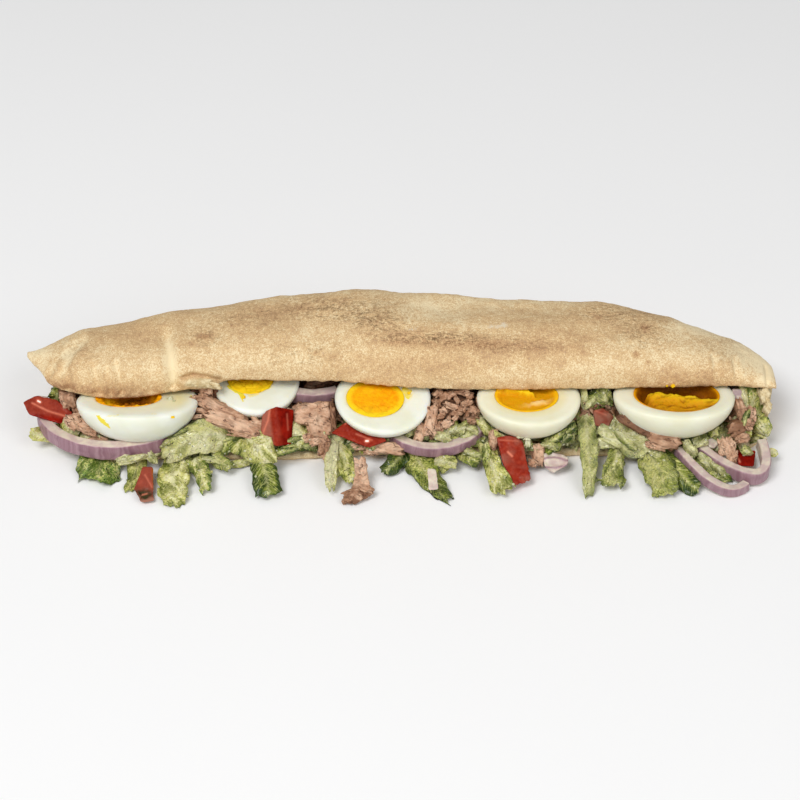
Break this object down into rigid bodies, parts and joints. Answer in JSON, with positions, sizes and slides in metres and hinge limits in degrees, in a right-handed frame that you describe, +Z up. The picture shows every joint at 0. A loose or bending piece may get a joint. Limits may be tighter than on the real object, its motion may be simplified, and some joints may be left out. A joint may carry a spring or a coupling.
{
  "type": "tuna and egg sandwich",
  "caption": "Long split flatbread lying on its lower half, its open front filled with halved boiled eggs, tuna, dressed lettuce, tomato and red onion.",
  "frame": {"origin": "centre of the whole sandwich seen from above, on the table that the bread lies on", "axes": "+X along the loaf from its pointed left end to its blunt right end, -Y towards the open front with the filling, +Z up"},
  "size_m": [0.3421, 0.1126, 0.0522],
  "materials": {
    "bread": "dry baked crust, pale with brown mottling and flour",
    "egg_white": "smooth moist egg white",
    "egg_yolk": "crumbly yolk",
    "tuna": "moist fibrous flakes",
    "lettuce": "wet leaves in creamy dressing with pepper",
    "tomato": "wet cut flesh and skin",
    "onion": "moist pale layer with a purple skin side"
  },
  "bodies": {
    "root": {"bread": "bread", "egg_1_white": "egg_white", "egg_1_yolk": "egg_yolk", "egg_2_white": "egg_white", "egg_2_yolk": "egg_yolk", "egg_3_white": "egg_white", "egg_3_yolk": "egg_yolk", "egg_4_white": "egg_white", "egg_4_yolk": "egg_yolk", "egg_5_white": "egg_white", "egg_5_yolk": "egg_yolk", "lettuce": "lettuce", "tuna": "tuna", "tuna_flake": "tuna", "tomato_1": "tomato", "tomato_2": "tomato", "tomato_3": "tomato", "tomato_4": "tomato", "tomato_5": "tomato", "tomato_6": "tomato", "tomato_7": "tomato", "onion_ring_1": "onion", "onion_ring_2": "onion", "onion_ring_3": "onion", "onion_ring_4": "onion", "onion_ring_5": "onion", "onion_strip": "onion", "onion_bit_1": "onion", "onion_bit_2": "onion", "onion_bit_3": "onion"}
  },
  "joints": []
}
